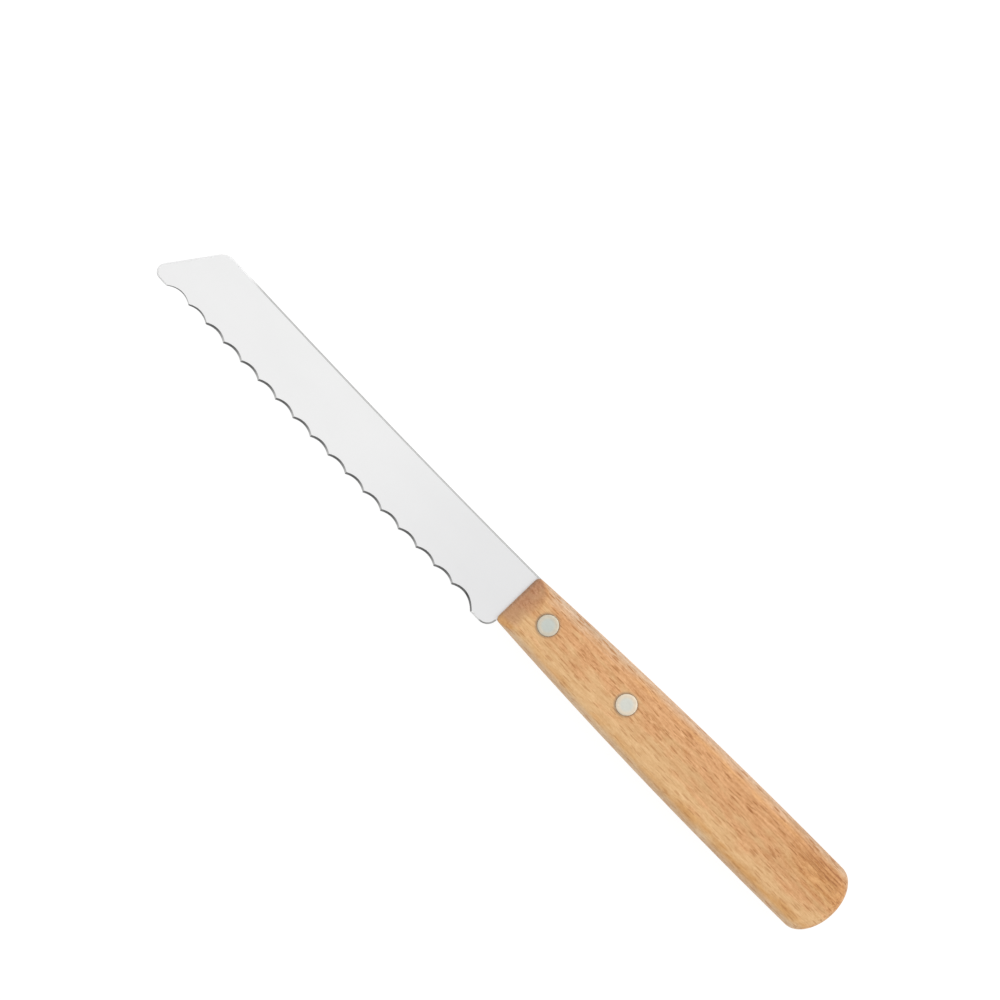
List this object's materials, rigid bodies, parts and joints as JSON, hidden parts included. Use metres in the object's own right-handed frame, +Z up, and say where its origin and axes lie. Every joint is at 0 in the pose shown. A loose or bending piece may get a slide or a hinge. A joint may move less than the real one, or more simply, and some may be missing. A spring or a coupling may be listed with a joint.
{
  "type": "table knife",
  "caption": "Small serrated table knife: slant-tipped stamped steel blade, scalloped edge, half tang riveted in a slotted beech handle.",
  "frame": {"origin": "under the middle of the knife's bounding box, on the surface that it lies on", "axes": "+X along the knife towards the handle's butt, +Y across it towards the blade's spine, +Z up out of the side that shows the flat face of the serrated edge"},
  "size_m": [0.2101, 0.0204, 0.012],
  "materials": {
    "blade_steel": "fine satin polish, matt ground scallops",
    "beech": "sanded beech, barely oiled",
    "rivet_metal": "ground flush with the wood, dull"
  },
  "bodies": {
    "root": {"blade": "blade_steel", "handle": "beech", "rivet_front": "rivet_metal", "rivet_rear": "rivet_metal"}
  },
  "joints": []
}
